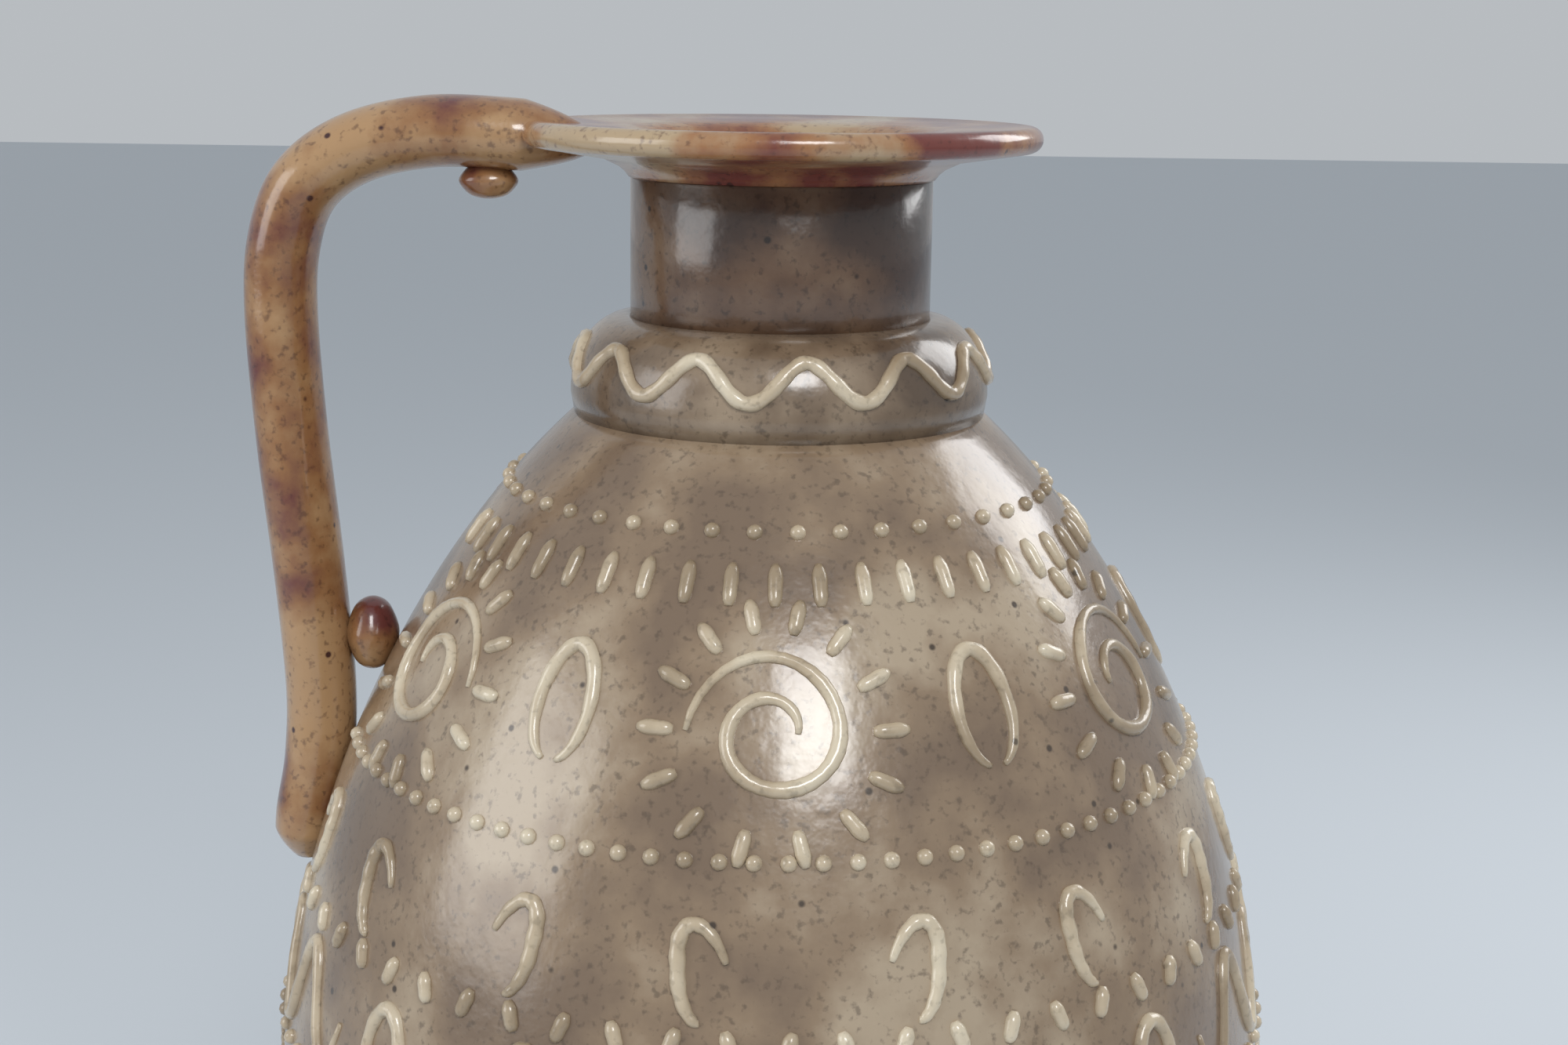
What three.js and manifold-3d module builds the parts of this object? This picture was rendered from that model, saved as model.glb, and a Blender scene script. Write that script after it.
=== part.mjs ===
// A wheel-thrown stoneware jug with a strap handle and raised slip trails, in millimetres, +Z up.
// The origin is the centre of the flat base. The handle stands towards -X and the front is -Y.
import * as THREE from "three";
import { mergeVertices } from "three/addons/utils/BufferGeometryUtils.js";
import Module from "manifold-3d";

const wasm = await Module();
wasm.setup();

// Thrown belly
const BELLY_RADIUS = 112.7;
const BELT_HEIGHT = 190;
const SHOULDER_TOP = 337;
const SHOULDER_REACH = 170.6;
const SHOULDER_POWER = 1.683;
const SHOULDER_ROUNDNESS = 0.604;
const LOWER_REACH = 278;
const LOWER_POWER = 2.1;
const WALL = 6;
const BASE_THICKNESS = 8;
const BASE_EDGE = 3;

// Collar, neck and rim
const BORE_RADIUS = 27.5;
const NECK_RADIUS = 33;
const COLLAR_RADIUS = 46.2;
const COLLAR_HEIGHT = 21;
const NECK_HEIGHT = 51;
const FLARE_HEIGHT = 4;
const RIM_RADIUS = 56.4;
const RIM_EDGE = 5.5;
const RIM_HEIGHT = 11.5;
const MOUTH_RADIUS = 30;

// Strap handle
const STRAP_HALF_WIDTH = 10.5;
const STRAP_HALF_THICKNESS = 7.8;
const STRAP_STEPS = 26;
const STRAP_SIDES = 12;
const WAD_RADIUS = 7;
const LUMP_RADIUS = 5;

// Slip trails
const TRAIL_WIDTH = 3.3;
const TRAIL_HEIGHT = 1.5;
const TRAIL_STEPS = 12;
const BAND_WAVES = 12;
const BAND_SWING = 4;
const BAND_LIFT = 0.65;

const CLEARANCE = 0.3;
const ROUND_SEGMENTS = 40;
const QUARTER_TURN = Math.PI / 2;

const degrees = (value) => (value * Math.PI) / 180;

// The clay's outer radius at a height above the base.
function bellyRadius(height) {
  const distance = Math.abs(height - BELT_HEIGHT);
  if (height < BELT_HEIGHT) return BELLY_RADIUS * (1 - (distance / LOWER_REACH) ** LOWER_POWER);
  return BELLY_RADIUS * (1 - (distance / SHOULDER_REACH) ** SHOULDER_POWER) ** SHOULDER_ROUNDNESS;
}

// The belly's outward direction in the plane of radius and height.
function bellyNormal(height) {
  const slope = bellyRadius(height + 0.5) - bellyRadius(height - 0.5);
  return new THREE.Vector2(1, -slope).normalize();
}

// Turns a closed mesh into a solid.
function solidOf(geometry) {
  geometry.deleteAttribute("normal");
  geometry.deleteAttribute("uv");
  const merged = mergeVertices(geometry, 1e-4);
  const vertProperties = merged.attributes.position.array;
  const triVerts = new Uint32Array(merged.index.array);
  return new wasm.Manifold(new wasm.Mesh({ numProp: 3, vertProperties, triVerts }));
}

// Turns a solid back into a mesh's geometry.
function geometryOf(solid) {
  const mesh = solid.getMesh();
  const geometry = new THREE.BufferGeometry();
  geometry.setAttribute("position", new THREE.BufferAttribute(mesh.vertProperties, 3));
  geometry.setIndex(new THREE.BufferAttribute(mesh.triVerts, 1));
  return geometry;
}

// Turns an outline of [radius, height] points round the jug's axis.
function thrown(outline) {
  const points = outline.map(([radius, height]) => new THREE.Vector2(radius, height));
  return new THREE.LatheGeometry(points, ROUND_SEGMENTS).rotateX(QUARTER_TURN);
}

// Skins a row of rings of points, as a loop or with closed ends.
function loft(rings, loop) {
  const sides = rings[0].length;
  const vertices = rings.flat();
  const index = [];
  const at = (ring, side) => (ring % rings.length) * sides + (side % sides);
  for (let ring = 0; ring < rings.length - (loop ? 0 : 1); ring++) {
    for (let side = 0; side < sides; side++) {
      index.push(at(ring, side), at(ring, side + 1), at(ring + 1, side));
      index.push(at(ring, side + 1), at(ring + 1, side + 1), at(ring + 1, side));
    }
  }
  for (let side = 1; side < sides - 1 && !loop; side++) {
    index.push(at(0, 0), at(0, side + 1), at(0, side));
    const last = rings.length - 1;
    index.push(at(last, 0), at(last, side), at(last, side + 1));
  }
  const geometry = new THREE.BufferGeometry().setFromPoints(vertices);
  return geometry.setIndex(index);
}

// The belly's outline, with its outer face grown by a margin, from the base up to the shoulder's top.
function bellyOutside(steps, margin = 0) {
  const outline = [];
  for (let step = 0; step <= steps; step++) {
    const height = BASE_EDGE + ((SHOULDER_TOP - BASE_EDGE) * step) / steps;
    outline.push([bellyRadius(height) + margin, height]);
  }
  return outline;
}

function thrownBelly() {
  const inside = [];
  const steps = 9;
  const innerTop = SHOULDER_TOP - 2 * WALL;
  for (let step = 0; step <= steps; step++) {
    const height = innerTop - ((innerTop - BASE_THICKNESS - WALL) * step) / steps;
    const normal = bellyNormal(height);
    inside.push([bellyRadius(height) - WALL * normal.x, height - WALL * normal.y]);
  }
  const foot = bellyRadius(0) - BASE_EDGE;
  const outside = bellyOutside(14);
  const top = [[BORE_RADIUS, SHOULDER_TOP], [BORE_RADIUS, SHOULDER_TOP - WALL]];
  return thrown([[0, 0], [foot, 0], ...outside, ...top, ...inside, [0, BASE_THICKNESS]]);
}

// A cushion ring that sits on the shoulder round the neck.
function shoulderCollar() {
  const inner = NECK_RADIUS + CLEARANCE;
  const bottom = SHOULDER_TOP + CLEARANCE;
  const top = SHOULDER_TOP + COLLAR_HEIGHT;
  const bulge = [];
  for (let step = 0; step <= 6; step++) {
    const turn = (step / 6) * QUARTER_TURN;
    const height = bottom + 4 + (top - bottom - 4) * Math.sin(turn);
    bulge.push([inner + 1 + (COLLAR_RADIUS - inner - 1) * Math.cos(turn), height]);
  }
  return thrown([[inner, bottom], [COLLAR_RADIUS - 0.8, bottom], ...bulge, [inner, top], [inner, bottom]]);
}

function neckTube() {
  const bottom = SHOULDER_TOP + CLEARANCE;
  const top = SHOULDER_TOP + NECK_HEIGHT;
  return thrown([
    [BORE_RADIUS, bottom],
    [NECK_RADIUS, bottom],
    [NECK_RADIUS, top],
    [BORE_RADIUS, top],
    [BORE_RADIUS, bottom],
  ]);
}

// The rim's outer face from the seam on the neck out to the edge, grown by a margin.
function rimOutside(margin = 0) {
  const seam = SHOULDER_TOP + NECK_HEIGHT + CLEARANCE;
  const top = seam + RIM_HEIGHT;
  return [
    [NECK_RADIUS + 0.5 + margin, seam],
    [NECK_RADIUS + 2.5 + margin, seam + 1.6],
    [NECK_RADIUS + 6.5 + margin, seam + FLARE_HEIGHT - margin],
    [RIM_RADIUS + margin, top - RIM_EDGE - margin],
    [RIM_RADIUS + margin, top - 1 + margin],
    [RIM_RADIUS - 1.5 + margin, top + margin],
  ];
}

function rimFlange() {
  const seam = SHOULDER_TOP + NECK_HEIGHT + CLEARANCE;
  const top = seam + RIM_HEIGHT;
  const outside = rimOutside();
  const mouth = [[MOUTH_RADIUS + 3, top - 1], [MOUTH_RADIUS, top - 3], [BORE_RADIUS, seam + FLARE_HEIGHT]];
  return thrown([[BORE_RADIUS, seam], ...outside, ...mouth, [BORE_RADIUS, seam]]);
}

// The strap's path from the rim, over the back of the hand and down to the belly.
const strapPath = new THREE.CatmullRomCurve3(
  [
    [-41, 395], [-60, 396.6], [-77, 396.8], [-93, 393], [-104, 385], [-109, 373], [-110.3, 357],
    [-108.8, 329], [-106, 299], [-104.2, 272], [-105, 255], [-107.5, 241], [-108, 231],
  ].map(([x, z]) => new THREE.Vector3(x, 0, z)),
);

// The strap's body, grown by a margin: an oval section that closes in at its pressed lower tip.
function strapLoft(margin = 0) {
  const width = new THREE.Vector3(0, 1, 0);
  const rings = [];
  for (let step = 0; step <= STRAP_STEPS; step++) {
    const along = step / STRAP_STEPS;
    const centre = strapPath.getPointAt(along);
    const thickness = new THREE.Vector3().crossVectors(strapPath.getTangentAt(along), width);
    const close = Math.sqrt(Math.min(1, (1.02 - along) * 14));
    const ring = [];
    for (let side = 0; side < STRAP_SIDES; side++) {
      const turn = (2 * Math.PI * side) / STRAP_SIDES;
      const across = (STRAP_HALF_WIDTH * close + margin) * Math.cos(turn);
      const out = (STRAP_HALF_THICKNESS * close + margin) * Math.sin(turn);
      ring.push(centre.clone().addScaledVector(width, across).addScaledVector(thickness, out));
    }
    rings.push(ring);
  }
  return loft(rings, false);
}

// The space that the belly and the rim keep clear of clay that is added to them.
const bellyRoom = solidOf(thrown([[0, BASE_EDGE], ...bellyOutside(28, CLEARANCE + 0.1), [0, SHOULDER_TOP]]));
const rimFoot = SHOULDER_TOP + NECK_HEIGHT + CLEARANCE;
const rimRoom = solidOf(
  thrown([[0, rimFoot], ...rimOutside(CLEARANCE), [0, rimFoot + RIM_HEIGHT + CLEARANCE]]),
);
const neckRoom = solidOf(
  thrown([[0, SHOULDER_TOP], [NECK_RADIUS + 1, SHOULDER_TOP], [NECK_RADIUS + 1, rimFoot], [0, rimFoot]]),
);
const strapRoom = solidOf(strapLoft(CLEARANCE));

function strapHandle() {
  return geometryOf(solidOf(strapLoft()).subtract(bellyRoom).subtract(rimRoom).subtract(neckRoom));
}

// A lump of clay pressed against the strap.
function wad(x, z, radius) {
  const lump = new THREE.SphereGeometry(radius, 12, 8).translate(x, 0, z);
  return geometryOf(solidOf(lump).subtract(bellyRoom).subtract(strapRoom));
}

// A raised trail of slip through points that give a place and its outward direction.
function slipTrail(points, loop) {
  const last = points.length - 1;
  const rings = points.map(({ place, out }, i) => {
    const before = points[loop ? (i + last) % (last + 1) : Math.max(0, i - 1)].place;
    const after = points[loop ? (i + 1) % (last + 1) : Math.min(last, i + 1)].place;
    const along = after.clone().sub(before).normalize();
    const side = new THREE.Vector3().crossVectors(out, along).normalize();
    const taper = loop ? 1 : 0.4 + 0.6 * Math.sqrt(Math.sin((Math.PI * i) / last));
    const half = (TRAIL_WIDTH * taper) / 2;
    const high = TRAIL_HEIGHT * taper;
    return [[half, 0], [half / 2, high], [-half / 2, high], [-half, 0]].map(([across, up]) =>
      place.clone().addScaledVector(side, across).addScaledVector(out, up),
    );
  });
  return loft(rings, loop);
}

// A place on the belly, given as an angle from the front towards +X and a height.
function onBelly(angle, height) {
  const normal = bellyNormal(height);
  const out = new THREE.Vector3(normal.x * Math.sin(angle), -normal.x * Math.cos(angle), normal.y);
  const radius = bellyRadius(height);
  const place = new THREE.Vector3(radius * Math.sin(angle), -radius * Math.cos(angle), height);
  return { place: place.addScaledVector(out, CLEARANCE), out };
}

// Each motif gives sideways and upward steps for a share of its length from 0 to 1.
const motifs = {
  spiral: (share, size) => {
    const turn = share * 3 * Math.PI;
    const radius = size * (1 - 0.72 * share);
    return [radius * Math.cos(turn), radius * Math.sin(turn)];
  },
  scroll: (share, size) => {
    const turn = (share - 0.5) * 3 * Math.PI;
    return [size * 0.55 * Math.sin(turn), size * (2 * share - 1)];
  },
  wave: (share, size) => [size * (2 * share - 1), size * 0.42 * Math.sin(share * 4 * Math.PI)],
};

// A motif laid on the belly about its middle.
function motifTrail(motif, angle, height, size, mirror) {
  const points = [];
  const slope = bellyNormal(height).x;
  for (let step = 0; step <= TRAIL_STEPS; step++) {
    const [across, up] = motifs[motif](step / TRAIL_STEPS, size);
    points.push(onBelly(angle + (mirror * across) / bellyRadius(height), height + up * slope));
  }
  return slipTrail(points, false);
}

// A wave of slip that runs all round the collar.
function collarBand() {
  const points = [];
  const count = BAND_WAVES * 6;
  const base = SHOULDER_TOP + CLEARANCE + 4;
  for (let step = 0; step < count; step++) {
    const angle = (2 * Math.PI * step) / count;
    const rise = 8 + BAND_SWING * Math.sin(angle * BAND_WAVES);
    const turn = Math.asin(rise / (COLLAR_HEIGHT - CLEARANCE - 4));
    const inner = NECK_RADIUS + CLEARANCE + 1;
    const radius = inner + (COLLAR_RADIUS - inner) * Math.cos(turn);
    const out = new THREE.Vector3(Math.sin(angle) * 0.8, -Math.cos(angle) * 0.8, 0.6);
    const place = new THREE.Vector3(radius * Math.sin(angle), -radius * Math.cos(angle), base + rise);
    points.push({ place: place.addScaledVector(out, BAND_LIFT), out });
  }
  return slipTrail(points, true);
}

const finishes = {
  belly: [0x9b8468, 0.28],
  collar: [0x8a7159, 0.3],
  neck: [0x6e5340, 0.25],
  rim: [0xa06f45, 0.3],
  strap: [0x96663f, 0.28],
  slip: [0xc9b596, 0.3],
};

const jug = new THREE.Group();

// Adds one named piece in its own glaze.
function add(name, geometry, finish) {
  const [color, roughness] = finishes[finish];
  const material = new THREE.MeshStandardMaterial({ color, roughness, metalness: 0 });
  const piece = new THREE.Mesh(geometry, material);
  piece.name = name;
  jug.add(piece);
}

add("thrown_belly", thrownBelly(), "belly");
add("shoulder_collar", shoulderCollar(), "collar");
add("neck_tube", neckTube(), "neck");
add("rim_flange", rimFlange(), "rim");
add("strap_handle", strapHandle(), "strap");
add("handle_root_wad", wad(-92, 284, WAD_RADIUS), "strap");
add("handle_rim_lump", wad(-64, 386.5, LUMP_RADIUS), "strap");
add("collar_slip_band", collarBand(), "slip");

// Rows of motifs: name, first angle, turn between copies, copies, height, size.
const rows = [
  ["spiral", -60, 60, 6, 288, 17],
  ["wave", -67.5, 45, 8, 218, 26],
  ["scroll", -90, 45, 8, 140, 26],
];
for (const [motif, first, turn, copies, height, size] of rows) {
  for (let copy = 0; copy < copies; copy++) {
    const mirror = copy % 2 ? -1 : 1;
    const trail = motifTrail(motif, degrees(first + turn * copy), height, size, mirror);
    add("slip_" + motif + "_" + (copy + 1), trail, "slip");
  }
}

export default jug;
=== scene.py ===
"""Dresses the stoneware jug: glazed clay, slip trails, soft light and the photograph's view.

Sizes are in millimetres, as in the jug's solids, and become metres where a mesh is made. An angle round
the jug runs from the front towards +X, and the strap handle stands towards -X.
"""

import logging
import math
from dataclasses import dataclass, field
from enum import Enum

import bmesh
import bpy
from mathutils import Matrix, Vector


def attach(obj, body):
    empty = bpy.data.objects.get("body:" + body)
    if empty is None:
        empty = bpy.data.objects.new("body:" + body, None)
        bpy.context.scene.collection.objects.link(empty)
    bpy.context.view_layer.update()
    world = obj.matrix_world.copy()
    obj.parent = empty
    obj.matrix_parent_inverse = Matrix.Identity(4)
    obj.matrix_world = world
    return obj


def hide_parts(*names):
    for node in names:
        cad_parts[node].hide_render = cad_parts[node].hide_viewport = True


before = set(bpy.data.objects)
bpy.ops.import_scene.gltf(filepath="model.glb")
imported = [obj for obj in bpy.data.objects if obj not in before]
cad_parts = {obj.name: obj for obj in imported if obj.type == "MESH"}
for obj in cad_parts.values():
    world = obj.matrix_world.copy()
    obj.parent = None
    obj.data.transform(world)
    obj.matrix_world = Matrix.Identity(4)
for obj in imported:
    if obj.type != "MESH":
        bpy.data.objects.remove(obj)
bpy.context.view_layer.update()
MM = 0.001
MERGE = 0.01
LOG = logging.getLogger("jug")

# The strap's bearing in degrees, and the heights between which its foot lies close to the belly
STRAP_BEARING = 270.0
STRAP_TIP = 222.0
STRAP_FREE = 310.0

Colour = tuple[float, float, float]
Outline = list[tuple[float, float]]
Ring = list[Vector]
Faces = list[tuple[int, ...]]
Skin = tuple[list, Faces]
Place = tuple[Vector, Vector]


class Motif(Enum):
    """The strokes that a slip trailer draws."""

    SPIRAL = "spiral"
    WAVE = "wave"
    SCROLL = "scroll"
    HOOK = "hook"
    LOOP = "loop"
    DROP = "drop"


def noise(tree: bpy.types.NodeTree, scale: float, detail: float) -> bpy.types.NodeSocket:
    """Adds a noise pattern on object coordinates.

    Args:
        tree: The material's nodes, with their coordinates in the node named place.
        scale: Cells in a metre.
        detail: Octaves of finer noise.

    Returns:
        The pattern's value.
    """
    node = tree.nodes.new("ShaderNodeTexNoise")
    node.inputs["Scale"].default_value = scale
    node.inputs["Detail"].default_value = detail
    tree.links.new(tree.nodes["place"].outputs["Object"], node.inputs["Vector"])
    return node.outputs["Fac"]


def ranged(
    tree: bpy.types.NodeTree, value: bpy.types.NodeSocket, span: tuple[float, float], most: float = 1.0
) -> bpy.types.NodeSocket:
    """Adds a change of range.

    Args:
        tree: The material's nodes.
        value: What is changed.
        span: The values that become 0 and most.
        most: The highest result.

    Returns:
        The new value.
    """
    node = tree.nodes.new("ShaderNodeMapRange")
    node.inputs["From Min"].default_value = span[0]
    node.inputs["From Max"].default_value = span[1]
    node.inputs["To Max"].default_value = most
    tree.links.new(value, node.inputs["Value"])
    return node.outputs["Result"]


def colour_socket(sockets: bpy.types.bpy_prop_collection, name: str) -> bpy.types.NodeSocket:
    """Returns a Mix node's colour socket, which shares its name with sockets of other types."""
    return next(socket for socket in sockets if socket.type == "RGBA" and socket.name == name)


@dataclass(frozen=True)
class Glaze:
    """A mottled, glossy stoneware glaze with dark specks and small pits.

    Scales are in cells to a metre. A range holds the values of a pattern between which its effect grows.
    """

    name: str
    dark: Colour
    base: Colour
    light: Colour
    patch_scale: float = 26.0
    patch_detail: float = 8.0
    patch_range: tuple[float, float, float] = (0.41, 0.5, 0.6)
    speck: float = 0.5
    speck_scale: float = 620.0
    speck_detail: float = 3.0
    speck_range: tuple[float, float] = (0.56, 0.7)
    pit_scale: float = 95.0
    pit_range: tuple[float, float] = (0.09, 0.05)
    pit_shade: float = 0.35
    peel_scale: float = 330.0
    peel_detail: float = 2.0
    peel_depth: float = 0.4
    peel_strength: float = 0.35
    roughness: float = 0.24
    coat: float = 0.5
    coat_roughness: float = 0.12

    @property
    def title(self) -> str:
        """The material's name, which differs from that of the solids' own material."""
        return self.name + "_finish"

    def dressing(self) -> bpy.types.Material:
        """Returns the glaze's material, which is made when it is first asked for."""
        return bpy.data.materials.get(self.title) or self.material()

    def mottling(self, tree: bpy.types.NodeTree) -> bpy.types.NodeSocket:
        """Adds the soft patches of the three colours.

        Args:
            tree: The material's nodes.

        Returns:
            The colour.
        """
        ramp = tree.nodes.new("ShaderNodeValToRGB")
        tree.links.new(noise(tree, self.patch_scale, self.patch_detail), ramp.inputs["Fac"])
        low, middle, high = self.patch_range
        stops = ramp.color_ramp.elements
        stops[0].position, stops[0].color = low, (*self.dark, 1)
        stops[1].position, stops[1].color = high, (*self.light, 1)
        stops.new(middle).color = (*self.base, 1)
        return ramp.outputs["Color"]

    def darkening(self, tree: bpy.types.NodeTree) -> bpy.types.NodeSocket:
        """Adds fine specks and round pits.

        Args:
            tree: The material's nodes.

        Returns:
            How much of the pits' shade shows, from 0 to 1.
        """
        specks = noise(tree, self.speck_scale, self.speck_detail)
        pits = tree.nodes.new("ShaderNodeTexVoronoi")
        pits.inputs["Scale"].default_value = self.pit_scale
        tree.links.new(tree.nodes["place"].outputs["Object"], pits.inputs["Vector"])
        darker = tree.nodes.new("ShaderNodeMath")
        darker.operation = "MAXIMUM"
        tree.links.new(ranged(tree, specks, self.speck_range, self.speck), darker.inputs[0])
        tree.links.new(ranged(tree, pits.outputs["Distance"], self.pit_range), darker.inputs[1])
        return darker.outputs["Value"]

    def material(self) -> bpy.types.Material:
        """Makes the glaze as a node material on object coordinates.

        Returns:
            The material.
        """
        made = bpy.data.materials.new(self.title)
        made.use_nodes = True
        tree = made.node_tree
        shader = tree.nodes["Principled BSDF"]
        tree.nodes.new("ShaderNodeTexCoord").name = "place"

        mix = tree.nodes.new("ShaderNodeMix")
        mix.data_type = "RGBA"
        shade = tuple(self.pit_shade * channel for channel in self.dark)
        colour_socket(mix.inputs, "B").default_value = (*shade, 1)
        tree.links.new(self.mottling(tree), colour_socket(mix.inputs, "A"))
        tree.links.new(self.darkening(tree), mix.inputs["Factor"])
        tree.links.new(colour_socket(mix.outputs, "Result"), shader.inputs["Base Color"])

        peel = tree.nodes.new("ShaderNodeBump")
        peel.inputs["Strength"].default_value = self.peel_strength
        peel.inputs["Distance"].default_value = self.peel_depth * MM
        tree.links.new(noise(tree, self.peel_scale, self.peel_detail), peel.inputs["Height"])
        tree.links.new(peel.outputs["Normal"], shader.inputs["Normal"])
        shader.inputs["Roughness"].default_value = self.roughness
        shader.inputs["Coat Weight"].default_value = self.coat
        shader.inputs["Coat Roughness"].default_value = self.coat_roughness
        return made


BELLY = Glaze("belly_glaze", (0.19, 0.13, 0.085), (0.27, 0.19, 0.12), (0.42, 0.33, 0.23))
COLLAR = Glaze("collar_glaze", (0.10, 0.065, 0.04), (0.20, 0.14, 0.09), (0.33, 0.25, 0.17))
NECK = Glaze("neck_glaze", (0.055, 0.03, 0.02), (0.12, 0.068, 0.04), (0.20, 0.13, 0.08))
RIM = Glaze("rim_glaze", (0.16, 0.035, 0.025), (0.33, 0.15, 0.06), (0.45, 0.33, 0.2), patch_scale=34)
STRAP = Glaze("strap_glaze", (0.13, 0.03, 0.025), (0.28, 0.13, 0.05), (0.42, 0.25, 0.12), patch_scale=38)
SLIP = Glaze("slip_glaze", (0.33, 0.25, 0.16), (0.52, 0.42, 0.29), (0.68, 0.59, 0.44), speck=0.3)


def settle(name: str, mesh: bpy.types.Mesh, glaze: Glaze, nodes: list[str]) -> None:
    """Makes a mesh a piece with its glaze, its body and the solids that it stands for.

    Args:
        name: The piece's name.
        mesh: Its closed mesh in metres.
        glaze: The piece's finish.
        nodes: The solids that the piece stands for.
    """
    mesh.shade_smooth()
    mesh.materials.clear()
    mesh.materials.append(glaze.dressing())
    piece = bpy.data.objects.new(name, mesh)
    bpy.context.scene.collection.objects.link(piece)
    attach(piece, "root")
    if nodes:
        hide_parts(*nodes)
    LOG.info("%s: %d faces", piece.name, len(mesh.polygons))


def finish_piece(name: str, skin: Skin, glaze: Glaze, nodes: list[str]) -> None:
    """Makes a piece of a closed skin, with its faces turned outwards.

    Args:
        name: The piece's name.
        skin: Points in millimetres, and faces.
        glaze: The piece's finish.
        nodes: The solids that the piece stands for.
    """
    points, faces = skin
    mesh = bpy.data.meshes.new(name)
    mesh.from_pydata([Vector(point) * MM for point in points], [], faces)
    shape = bmesh.new()
    shape.from_mesh(mesh)
    bmesh.ops.remove_doubles(shape, verts=shape.verts, dist=MERGE * MM)
    bmesh.ops.recalc_face_normals(shape, faces=shape.faces)
    shape.to_mesh(mesh)
    shape.free()
    settle(name, mesh, glaze, nodes)


def turned(outline: Outline, segments: int = 192) -> Skin:
    """Turns an outline round the jug's axis.

    Args:
        outline: Radius and height points that start and end on the axis, or meet.
        segments: Steps in the turn.

    Returns:
        The points and faces.
    """
    points, faces = [], []
    for radius, height in outline:
        for step in range(segments):
            turn = 2 * math.pi * step / segments
            points.append((radius * math.cos(turn), radius * math.sin(turn), height))
    for ring in range(len(outline) - 1):
        near, far = ring * segments, (ring + 1) * segments
        for step in range(segments):
            after = (step + 1) % segments
            faces.append((near + step, near + after, far + after, far + step))
    return points, faces


def closed(outline: Outline) -> Outline:
    """Returns an outline that ends where it starts."""
    return [*outline, outline[0]]


def skinned(rings: list[Ring], start: int = 0, loop: bool = False) -> Skin:
    """Skins a row of rings.

    Args:
        rings: Rings of as many points each.
        start: The index of the first point.
        loop: Whether the last ring meets the first.

    Returns:
        The points and faces.
    """
    sides, count = len(rings[0]), len(rings)
    faces = []
    for ring in range(count if loop else count - 1):
        near, far = start + ring * sides, start + ((ring + 1) % count) * sides
        for side in range(sides):
            after = (side + 1) % sides
            faces.append((near + side, near + after, far + after, far + side))
    if not loop:
        for end in (start, start + (count - 1) * sides):
            faces.append(tuple(end + side for side in range(sides)))
    return [point for ring in rings for point in ring], faces


def around(angle: float) -> Vector:
    """Returns the level direction away from the jug's axis at an angle."""
    return Vector((math.sin(angle), -math.cos(angle), 0))


def upward(height: float) -> Vector:
    """Returns a step straight up."""
    return Vector((0, 0, height))


def clear_of_strap(angle: float, reach: float) -> bool:
    """Returns whether an angle in radians is more than a reach in degrees from the strap."""
    return abs(math.degrees(angle) % 360 - STRAP_BEARING) > reach


@dataclass
class Belly:
    """The thrown belly, whose typed sizes repeat those of its solid."""

    radius: float = 112.7
    belt: float = 190.0
    top: float = 337.0
    shoulder_reach: float = 170.6
    shoulder_power: float = 1.683
    shoulder_roundness: float = 0.604
    lower_reach: float = 278.0
    lower_power: float = 2.1
    wall: float = 6.0
    base: float = 8.0
    edge: float = 3.0
    bore: float = 27.5
    outer_steps: int = 150
    inner_steps: int = 60
    slope_reach: float = 0.5

    def radius_at(self, height: float) -> float:
        """Works out the clay's outer radius.

        Args:
            height: The height above the base.

        Returns:
            The radius.
        """
        distance = abs(height - self.belt)
        if height < self.belt:
            return self.radius * (1 - (distance / self.lower_reach) ** self.lower_power)
        share = (distance / self.shoulder_reach) ** self.shoulder_power
        return self.radius * (1 - share) ** self.shoulder_roundness

    def normal_at(self, height: float) -> Vector:
        """Returns the outward direction at a height, as a radius and height step."""
        change = self.radius_at(height + self.slope_reach) - self.radius_at(height - self.slope_reach)
        return Vector((2 * self.slope_reach, -change)).normalized()

    def place(self, angle: float, height: float) -> Place:
        """Finds a point of the surface.

        Args:
            angle: The angle from the front towards +X.
            height: The height above the base.

        Returns:
            The point and its outward direction.
        """
        normal, level = self.normal_at(height), around(angle)
        return level * self.radius_at(height) + upward(height), level * normal.x + upward(normal.y)

    def build(self) -> None:
        """Makes the belly with its flat base and open shoulder."""
        outline = [(0.0, 0.0), (self.radius_at(0) - self.edge, 0.0)]
        for step in range(self.outer_steps + 1):
            height = self.edge + (self.top - self.edge) * step / self.outer_steps
            outline.append((self.radius_at(height), height))
        outline += [(self.bore, self.top), (self.bore, self.top - self.wall)]
        inner_top = self.top - 2 * self.wall
        inner_span = inner_top - self.base - self.wall
        for step in range(self.inner_steps + 1):
            height = inner_top - inner_span * step / self.inner_steps
            normal = self.normal_at(height) * self.wall
            outline.append((self.radius_at(height) - normal.x, height - normal.y))
        outline.append((0.0, self.base))
        finish_piece("belly", turned(outline), BELLY, ["thrown_belly"])


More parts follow.
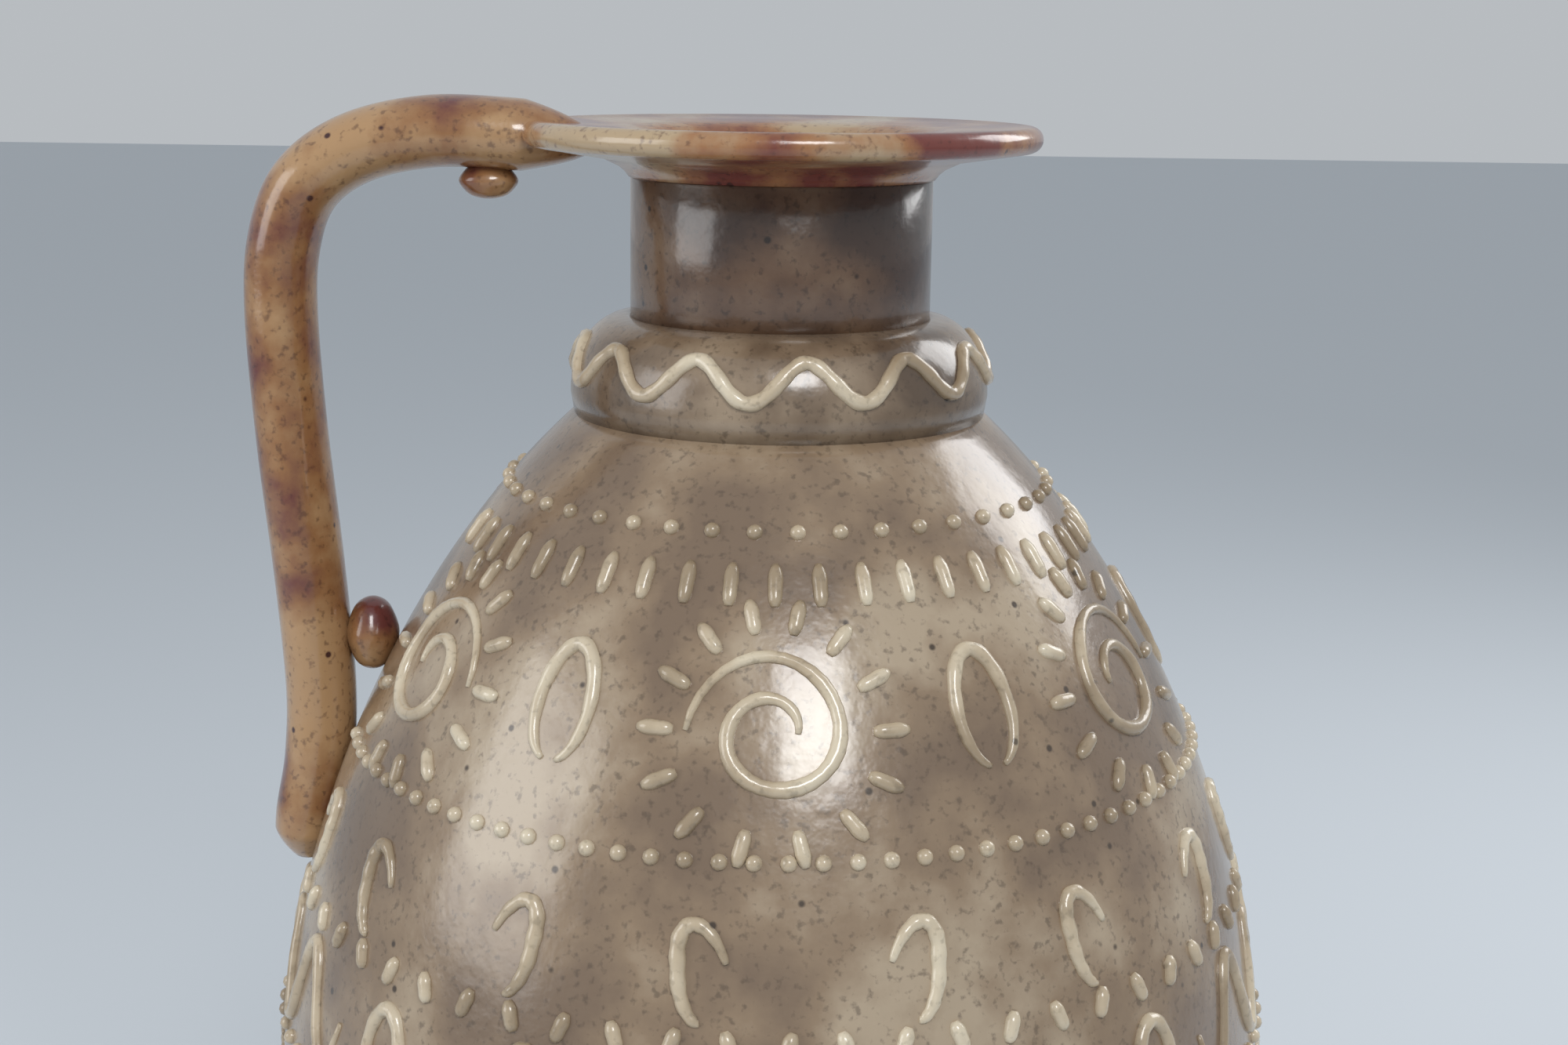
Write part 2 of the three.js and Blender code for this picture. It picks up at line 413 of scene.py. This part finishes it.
@dataclass
class Throat:
    """The cushion collar, the neck and the rim, whose joints are closed by a small overlap.

    The flare's steps go out from the neck and up from the seam, and the dish's out from the bore and down
    from the top.
    """

    bore: float = 27.5
    neck: float = 33.0
    collar: float = 46.2
    foot: float = 337.0
    seat: float = 0.5
    collar_height: float = 21.0
    collar_lap: float = 1.0
    collar_inset: float = 0.8
    collar_shelf: float = 1.3
    bulge_foot: float = 4.3
    bulge_rise: float = 16.7
    bulge_steps: int = 24
    seam: float = 388.3
    rim: float = 56.4
    top: float = 399.8
    edge_radius: float = 2.75
    edge_steps: int = 12
    rim_lap: float = 0.4
    flare: tuple[tuple[float, float], ...] = ((0.5, -0.2), (1.2, 0.8), (2.6, 2), (6.5, 3.8))
    dish: tuple[tuple[float, float], ...] = ((17.5, 0.7), (8.5, 1.2), (4.5, 2.2), (2, 4.5), (0.5, 8))

    def collar_at(self, rise: float) -> float:
        """Returns the collar's radius at a rise above its bulge's foot."""
        inner = self.neck + self.collar_shelf
        return inner + (self.collar - inner) * math.sqrt(max(0.0, 1 - (rise / self.bulge_rise) ** 2))

    def build_collar(self) -> None:
        """Makes the cushion ring, whose bulge is a quarter of an ellipse."""
        foot, inner = self.foot - self.seat, self.neck - self.collar_lap
        outline = [(inner, foot), (self.collar - self.collar_inset, foot)]
        for step in range(self.bulge_steps + 1):
            rise = step * self.bulge_rise / self.bulge_steps
            outline.append((self.collar_at(rise), self.foot + self.bulge_foot + rise))
        outline.append((inner, self.foot + self.collar_height))
        finish_piece("collar", turned(closed(outline)), COLLAR, ["shoulder_collar"])

    def build_neck(self) -> None:
        """Makes the neck, drawn in a little at the seam under the rim."""
        foot = self.foot - self.seat
        outline = [(self.bore, foot), (self.neck, foot), (self.neck, self.seam - self.seat)]
        outline += [(self.neck - self.seat, self.seam), (self.bore, self.seam)]
        finish_piece("neck", turned(closed(outline)), NECK, ["neck_tube"])

    def build_rim(self) -> None:
        """Makes the flare, the flange with its round edge and the dished mouth."""
        outline = [(self.bore, self.seam - self.rim_lap)]
        outline += [(self.neck + out, self.seam + up) for out, up in self.flare]
        middle = self.top - self.edge_radius
        for step in range(self.edge_steps + 1):
            turn = math.pi * (step / self.edge_steps - 0.5)
            out = self.edge_radius * (math.cos(turn) - 1)
            outline.append((self.rim + out, middle + self.edge_radius * math.sin(turn)))
        outline += [(self.bore + out, self.top - down) for out, down in self.dish]
        finish_piece("rim", turned(closed(outline)), RIM, ["rim_flange"])

    def build(self) -> None:
        """Makes the three turned pieces."""
        self.build_collar()
        self.build_neck()
        self.build_rim()


@dataclass(frozen=True)
class Lump:
    """A lump of clay pressed against the strap, with its place in the strap's plane."""

    name: str
    node: str
    x: float
    height: float
    radius: float
    press: tuple[float, float, float]
    waist: float = 0.05
    waist_rate: int = 3
    steps: int = 24
    segments: int = 40

    def build(self) -> None:
        """Makes the lump, drawn in at two waists and pressed along X, Y and Z."""
        outline = []
        for step in range(self.steps + 1):
            turn = math.pi * (step / self.steps - 0.5)
            drawn_in = 1 - self.waist * math.sin(self.waist_rate * turn) ** 2
            outline.append((self.radius * drawn_in * math.cos(turn), self.radius * math.sin(turn)))
        points, faces = turned(outline, self.segments)
        wide, deep, tall = self.press
        points = [(wide * x + self.x, deep * y, tall * z + self.height) for x, y, z in points]
        finish_piece(self.name, (points, faces), STRAP, [self.node])


@dataclass
class Strap:
    """The pulled strap handle, which closes in where it is joined to the rim and the belly.

    Each unevenness has a share of the width and a rate along the steps.
    """

    half_width: float = 10.5
    half_thickness: float = 7.8
    sides: int = 40
    steps_between: int = 10
    closing_rate: float = 14.0
    rim_end: float = 0.004
    belly_end: float = 0.015
    unevenness: tuple[tuple[float, float], ...] = ((0.025, 0.19), (0.015, 0.53))
    lumps: tuple[Lump, ...] = (
        Lump("root_wad", "handle_root_wad", -92, 284, 7.0, (0.85, 1.1, 1.2)),
        Lump("rim_lump", "handle_rim_lump", -64, 386.5, 5.0, (1.3, 1.0, 0.8)),
    )
    path: list[tuple[float, float]] = field(
        default_factory=lambda: [
            (-41, 395), (-60, 396.6), (-77, 396.8), (-93, 393), (-104, 385), (-109, 373), (-110.3, 357),
            (-108.8, 329), (-106, 299), (-104.2, 272), (-105, 255), (-107.5, 241), (-108, 231),
        ]
    )

    @staticmethod
    def between(a: Vector, b: Vector, c: Vector, d: Vector, share: float) -> Vector:
        """Finds a point of the smooth curve through four points.

        Args:
            a: The point before the stretch.
            b: The stretch's start.
            c: The stretch's end.
            d: The point after the stretch.
            share: How far along the stretch, from 0 to 1.

        Returns:
            The point.
        """
        bend = (2 * a - 5 * b + 4 * c - d) * share**2
        twist = (3 * b - a - 3 * c + d) * share**3
        return 0.5 * (2 * b + (c - a) * share + bend + twist)

    def curve(self) -> list[Vector]:
        """Draws a smooth curve through the path.

        Returns:
            Its points.
        """
        points = [Vector((x, 0, height)) for x, height in self.path]
        points = [2 * points[0] - points[1], *points, 2 * points[-1] - points[-2]]
        made = []
        for four in zip(points, points[1:], points[2:], points[3:]):
            made += [self.between(*four, step / self.steps_between) for step in range(self.steps_between)]
        return [*made, points[-2]]

    def size_at(self, step: int, last: int) -> tuple[float, float]:
        """Works out the oval section's half width and half thickness.

        Args:
            step: The step along the curve.
            last: The last step.

        Returns:
            The half width, which the pulling left a little uneven, and the half thickness.
        """
        share = step / last
        ends = min(1 + self.belly_end - share, share + self.rim_end)
        close = math.sqrt(min(1, ends * self.closing_rate))
        uneven = 1 + sum(depth * math.sin(step * rate) for depth, rate in self.unevenness)
        return self.half_width * close * uneven, self.half_thickness * close

    def build(self) -> None:
        """Makes the strap and the two lumps of clay."""
        centres = self.curve()
        last = len(centres) - 1
        across, rings = Vector((0, 1, 0)), []
        for step, centre in enumerate(centres):
            along = (centres[min(step + 1, last)] - centres[max(step - 1, 0)]).normalized()
            out = along.cross(across)
            wide, thick = self.size_at(step, last)
            ring = []
            for side in range(self.sides):
                turn = 2 * math.pi * side / self.sides
                ring.append(centre + across * (wide * math.cos(turn)) + out * (thick * math.sin(turn)))
            rings.append(ring)
        finish_piece("strap", skinned(rings), STRAP, ["strap_handle"])
        for lump in self.lumps:
            lump.build()


@dataclass(frozen=True)
class Row:
    """A row of equal strokes round the belly, every second one mirrored.

    The first copy's angle and the tilt are in degrees. The size is half of a stroke's reach.
    """

    motif: Motif
    first: float
    copies: int
    height: float
    size: float
    tilt: float = 0.0

    def nodes(self) -> list[str]:
        """Returns the names of the row's solids."""
        return [f"slip_{self.motif.value}_{copy + 1}" for copy in range(self.copies)]


# The three rows that stand for solids, and the rows that fill the space between them
SPIRALS = Row(Motif.SPIRAL, -60, 6, 288, 17)
WAVES = Row(Motif.WAVE, -67.5, 8, 218, 26)
SCROLLS = Row(Motif.SCROLL, -90, 8, 140, 26)
FILLING = (
    Row(Motif.LOOP, -30, 6, 290, 12),
    Row(Motif.HOOK, -52, 16, 247, 9, 20),
    Row(Motif.DROP, -90, 48, 313, 4.5),
    Row(Motif.DROP, -88, 60, 234, 3, 20),
    Row(Motif.LOOP, -90, 8, 216, 11),
    Row(Motif.HOOK, -79, 16, 190, 10, 90),
    Row(Motif.SPIRAL, -67.5, 8, 150, 15),
    Row(Motif.DROP, -88, 60, 178, 3.5, -20),
    Row(Motif.WAVE, -67.5, 12, 98, 20),
    Row(Motif.DROP, -88, 48, 78, 4),
)


@dataclass(frozen=True)
class Hand:
    """How each stroke is drawn: its numbers of turns, and its swings as shares of its half reach."""

    spiral_turns: float = 1.5
    spiral_closing: float = 0.72
    wave_turns: float = 2.0
    wave_swing: float = 0.42
    scroll_turns: float = 1.5
    scroll_swing: float = 0.55
    hook_turns: float = 0.75
    hook_width: float = 0.5
    hook_straight: float = 0.6
    loop_width: float = 0.5
    loop_gap: float = 0.04

    def point(self, motif: Motif, share: float, size: float) -> tuple[float, float]:
        """Draws a point of a stroke on the flat.

        Args:
            motif: Which stroke.
            share: The share of its length, from 0 to 1.
            size: Half of its reach.

        Returns:
            The point's sideways and upward place.
        """
        full_turn, end_to_end = 2 * math.pi, size * (2 * share - 1)
        match motif:
            case Motif.SPIRAL:
                turn = self.spiral_turns * full_turn * share
                radius = size * (1 - self.spiral_closing * share)
                return radius * math.cos(turn), radius * math.sin(turn)
            case Motif.WAVE:
                turn = self.wave_turns * full_turn * share
                return end_to_end, size * self.wave_swing * math.sin(turn)
            case Motif.SCROLL:
                turn = self.scroll_turns * full_turn * (share - 0.5)
                return size * self.scroll_swing * math.sin(turn), end_to_end
            case Motif.HOOK:
                turn = self.hook_turns * full_turn * share
                straight = 2 * max(0, share - self.hook_straight)
                return size * self.hook_width * (math.cos(turn) - straight), size * math.sin(turn)
            case Motif.LOOP:
                turn = full_turn * (self.loop_gap + (1 - 2 * self.loop_gap) * share)
                return size * self.loop_width * math.sin(turn), -size * math.cos(turn)
            case _:
                return 0.0, end_to_end


@dataclass
class Trails:
    """Raised slip drawn on the belly and the collar."""

    belly: Belly
    throat: Throat
    hand: Hand = Hand()
    width: float = 3.3
    height: float = 1.6
    sides: int = 9
    tip: float = 0.25
    tip_pad: float = 0.3
    unevenness: float = 0.06
    uneven_rate: float = 1.3
    long_steps: int = 44
    drop_steps: int = 8
    strap_room: float = 9.0
    petals: int = 14
    petal_reach: float = 23.0
    petal_size: float = 3.6
    petal_room: float = 8.0
    band_steps: int = 360
    band_waves: int = 12
    band_rise: float = 8.0
    band_swing: float = 4.0
    band_outward: float = 0.8
    band_upward: float = 0.6

    def taper_at(self, step: int, last: int, loop: bool) -> float:
        """Works out how full a stroke is.

        Args:
            step: The step along the stroke.
            last: The last step.
            loop: Whether the stroke closes on itself, and has no ends.

        Returns:
            The share of its full section, which the hand left a little uneven.
        """
        share = (step + self.tip_pad) / (last + 2 * self.tip_pad)
        full = 1.0 if loop else self.tip + (1 - self.tip) * math.sqrt(math.sin(math.pi * share))
        return full * (1 + self.unevenness * math.sin(step * self.uneven_rate))

    def rings(self, places: list[Place], loop: bool = False) -> list[Ring]:
        """Sets rounded sections along a stroke.

        Args:
            places: Points on the clay with their outward directions.
            loop: Whether the stroke closes on itself.

        Returns:
            The sections.
        """
        rings, last = [], len(places) - 1
        for i, (point, out) in enumerate(places):
            before = places[i - 1 if loop or i else 0][0]
            after = places[(i + 1) % (last + 1) if loop else min(last, i + 1)][0]
            across = out.cross((after - before).normalized()).normalized()
            full = self.taper_at(i, last, loop)
            half, high = self.width / 2 * full, self.height * full
            ring = []
            for side in range(self.sides):
                turn = 2 * math.pi * side / self.sides
                ring.append(point + across * (half * math.cos(turn)) + out * (high * math.sin(turn)))
            rings.append(ring)
        return rings

    def drawn(
        self, motif: Motif, angle: float, height: float, size: float, tilt: float, mirror: int = 1
    ) -> list[Ring]:
        """Lays a stroke on the belly.

        Args:
            motif: Which stroke.
            angle: The angle of its middle.
            height: The height of its middle.
            size: Half of its reach.
            tilt: How far it is turned.
            mirror: 1, or -1 for its mirror image.

        Returns:
            Its sections.
        """
        steps = self.drop_steps if motif is Motif.DROP else self.long_steps
        radius, slope = self.belly.radius_at(height), self.belly.normal_at(height).x
        places = []
        for step in range(steps + 1):
            x, y = self.hand.point(motif, step / steps, size)
            across = mirror * (x * math.cos(tilt) - y * math.sin(tilt))
            up = x * math.sin(tilt) + y * math.cos(tilt)
            places.append(self.belly.place(angle + across / radius, height + up * slope))
        return self.rings(places)

    def row(self, row: Row) -> list[list[Ring]]:
        """Lays a row of strokes round the belly, and leaves out those that meet the strap.

        Args:
            row: The row.

        Returns:
            The sections of each stroke.
        """
        made = []
        for copy in range(row.copies):
            angle = math.radians(row.first + 360 * copy / row.copies)
            if row.height > STRAP_TIP and not clear_of_strap(angle, self.strap_room):
                continue
            mirror = -1 if copy % 2 else 1
            made.append(self.drawn(row.motif, angle, row.height, row.size, math.radians(row.tilt), mirror))
        return made

    def rosettes(self) -> list[list[Ring]]:
        """Sets drop petals round each shoulder spiral, and leaves out those at the strap.

        Returns:
            The sections of each petal.
        """
        made, height = [], SPIRALS.height
        radius, slope = self.belly.radius_at(height), self.belly.normal_at(height).x
        for copy in range(SPIRALS.copies):
            centre = math.radians(SPIRALS.first + 360 * copy / SPIRALS.copies)
            for petal in range(self.petals):
                turn = 2 * math.pi * petal / self.petals
                angle = centre + self.petal_reach * math.cos(turn) / radius
                up = self.petal_reach * math.sin(turn) * slope
                if clear_of_strap(angle, self.petal_room):
                    tilt = turn - math.pi / 2
                    made.append(self.drawn(Motif.DROP, angle, height + up, self.petal_size, tilt))
        return made

    def band(self) -> list[Ring]:
        """Draws the wave of slip round the collar.

        Returns:
            Its sections.
        """
        places, foot = [], self.throat.foot + self.throat.bulge_foot
        for step in range(self.band_steps):
            angle = 2 * math.pi * step / self.band_steps
            rise = self.band_rise + self.band_swing * math.sin(angle * self.band_waves)
            level = around(angle)
            point = level * self.throat.collar_at(rise) + upward(foot + rise)
            places.append((point, level * self.band_outward + upward(self.band_upward)))
        return self.rings(places, loop=True)

    def join(self, name: str, strokes: list[list[Ring]], nodes: list[str], loop: bool = False) -> None:
        """Makes one piece of many strokes.

        Args:
            name: The piece's name.
            strokes: The sections of each stroke.
            nodes: The solids that the piece stands for.
            loop: Whether the strokes close on themselves.
        """
        points, faces = [], []
        for rings in strokes:
            more, skin = skinned(rings, len(points), loop)
            points += more
            faces += skin
        finish_piece(name, (points, faces), SLIP, nodes)

    def build(self) -> None:
        """Makes the relief, row by row."""
        self.join("collar_wave", [self.band()], ["collar_slip_band"], loop=True)
        for name, row in (("shoulder_spirals", SPIRALS), ("belt_waves", WAVES), ("lower_scrolls", SCROLLS)):
            self.join(name, self.row(row), row.nodes())
        self.join("rosette_petals", self.rosettes(), [])
        self.join("filling_strokes", [stroke for row in FILLING for stroke in self.row(row)], [])


@dataclass
class Dots:
    """Rings of trailed dots, each given by its height and its number of dots."""

    belly: Belly
    rings: tuple[tuple[float, int], ...] = ((322.0, 44), (266.0, 90), (203.0, 96), (118.0, 88))
    radius: float = 1.7
    roundness: int = 2
    strap_room: float = 8.0

    def tree(self) -> tuple[bpy.types.NodeTree, str]:
        """Makes the nodes that set a dot on each point.

        Returns:
            The nodes, and the identifier of the input for the dots' radius.
        """
        tree = bpy.data.node_groups.new("trailed_dots", "GeometryNodeTree")
        face = tree.interface
        face.new_socket("Geometry", in_out="INPUT", socket_type="NodeSocketGeometry")
        size = face.new_socket("Dot Radius", in_out="INPUT", socket_type="NodeSocketFloat")
        face.new_socket("Geometry", in_out="OUTPUT", socket_type="NodeSocketGeometry")
        nodes, links = tree.nodes, tree.links
        given, result = nodes.new("NodeGroupInput"), nodes.new("NodeGroupOutput")
        dot = nodes.new("GeometryNodeMeshIcoSphere")
        dot.inputs["Subdivisions"].default_value = self.roundness
        copies = nodes.new("GeometryNodeInstanceOnPoints")
        real = nodes.new("GeometryNodeRealizeInstances")
        dressed = nodes.new("GeometryNodeSetMaterial")
        dressed.inputs["Material"].default_value = SLIP.dressing()
        links.new(given.outputs["Dot Radius"], dot.inputs["Radius"])
        links.new(given.outputs["Geometry"], copies.inputs["Points"])
        links.new(dot.outputs["Mesh"], copies.inputs["Instance"])
        links.new(copies.outputs["Instances"], real.inputs["Geometry"])
        links.new(real.outputs["Geometry"], dressed.inputs["Geometry"])
        links.new(dressed.outputs["Geometry"], result.inputs["Geometry"])
        return tree, size.identifier

    def places(self) -> list[Vector]:
        """Finds the dots' middles, and leaves out those under the strap's foot.

        Returns:
            The points in metres.
        """
        made = []
        for height, count in self.rings:
            beside_strap = STRAP_TIP <= height <= STRAP_FREE
            for step in range(count):
                angle = 2 * math.pi * (step + 0.5) / count
                if not beside_strap or clear_of_strap(angle, self.strap_room):
                    made.append(self.belly.place(angle, height)[0] * MM)
        return made

    def build(self) -> None:
        """Makes the dots as one plain mesh."""
        mesh = bpy.data.meshes.new("dot_places")
        mesh.from_pydata(self.places(), [], [])
        source = bpy.data.objects.new("dot_places", mesh)
        bpy.context.scene.collection.objects.link(source)
        modifier = source.modifiers.new("dots", "NODES")
        modifier.node_group, radius_input = self.tree()
        modifier[radius_input] = self.radius * MM
        graph = bpy.context.evaluated_depsgraph_get()
        made = bpy.data.meshes.new_from_object(source.evaluated_get(graph))
        bpy.data.objects.remove(source)
        settle("trailed_dots", made, SLIP, [])


@dataclass(frozen=True)
class Lamp:
    """A soft square lamp that faces the jug, with sizes in metres and its power in watts."""

    name: str
    place: tuple[float, float, float]
    size: float
    power: float
    target: tuple[float, float, float] = (0.0, 0.0, 0.25)

    def build(self) -> None:
        """Makes the lamp."""
        data = bpy.data.lights.new(self.name, "AREA")
        data.size, data.energy = self.size, self.power
        made = bpy.data.objects.new(self.name, data)
        made.location = self.place
        towards = Vector(self.target) - Vector(self.place)
        made.rotation_euler = towards.to_track_quat("-Z", "Y").to_euler()
        bpy.context.scene.collection.objects.link(made)


@dataclass
class Studio:
    """The camera, the floor and the light, with places in metres."""

    eye: tuple[float, float, float] = (0.0015, -0.48, 0.4169)
    pitch: float = 12.45
    roll: float = 0.8
    lens: float = 50.0
    sensor: float = 36.0
    nearest: float = 0.01
    floor_reach: float = 8.0
    floor_colour: Colour = (0.62, 0.66, 0.7)
    floor_roughness: float = 0.9
    air_colour: Colour = (0.8, 0.84, 0.88)
    air_strength: float = 0.6
    lamps: tuple[Lamp, ...] = (
        Lamp("window", (0.25, -1.1, 1.25), 0.45, 9.0),
        Lamp("side", (-1.3, -0.5, 0.7), 0.8, 6.0),
        Lamp("back", (0.9, 0.6, 0.9), 0.6, 5.0),
    )

    def camera(self) -> None:
        """Makes the camera at the photograph's view."""
        data = bpy.data.cameras.new("view")
        data.lens, data.sensor_width = self.lens, self.sensor
        data.clip_start = self.nearest
        made = bpy.data.objects.new("view", data)
        pitch = Matrix.Rotation(math.radians(90 - self.pitch), 4, "X")
        roll = Matrix.Rotation(math.radians(self.roll), 4, "Z")
        made.matrix_world = Matrix.Translation(self.eye) @ pitch @ roll
        bpy.context.scene.collection.objects.link(made)
        bpy.context.scene.camera = made

    def floor(self) -> None:
        """Makes the plain pale floor."""
        reach = self.floor_reach
        corners = [(-reach, -reach, 0), (reach, -reach, 0), (reach, reach, 0), (-reach, reach, 0)]
        mesh = bpy.data.meshes.new("floor")
        mesh.from_pydata(corners, [], [(0, 1, 2, 3)])
        paint = bpy.data.materials.new("floor_paint")
        paint.use_nodes = True
        shader = paint.node_tree.nodes["Principled BSDF"]
        shader.inputs["Base Color"].default_value = (*self.floor_colour, 1)
        shader.inputs["Roughness"].default_value = self.floor_roughness
        mesh.materials.append(paint)
        floor = bpy.data.objects.new("floor", mesh)
        bpy.context.scene.collection.objects.link(floor)

    def air(self) -> None:
        """Makes the even light from all round."""
        world = bpy.data.worlds.new("room")
        world.use_nodes = True
        background = world.node_tree.nodes["Background"]
        background.inputs["Color"].default_value = (*self.air_colour, 1)
        background.inputs["Strength"].default_value = self.air_strength
        bpy.context.scene.world = world

    def build(self) -> None:
        """Makes the view, the floor and the light."""
        self.camera()
        self.floor()
        for lamp in self.lamps:
            lamp.build()
        self.air()
        bpy.context.scene.view_settings.view_transform = "Standard"


def main() -> None:
    """Builds the studio and every piece of the jug."""
    logging.basicConfig(level=logging.INFO)
    Studio().build()
    belly, throat = Belly(), Throat()
    belly.build()
    throat.build()
    Strap().build()
    Trails(belly, throat).build()
    Dots(belly).build()


if __name__ == "__main__":
    main()
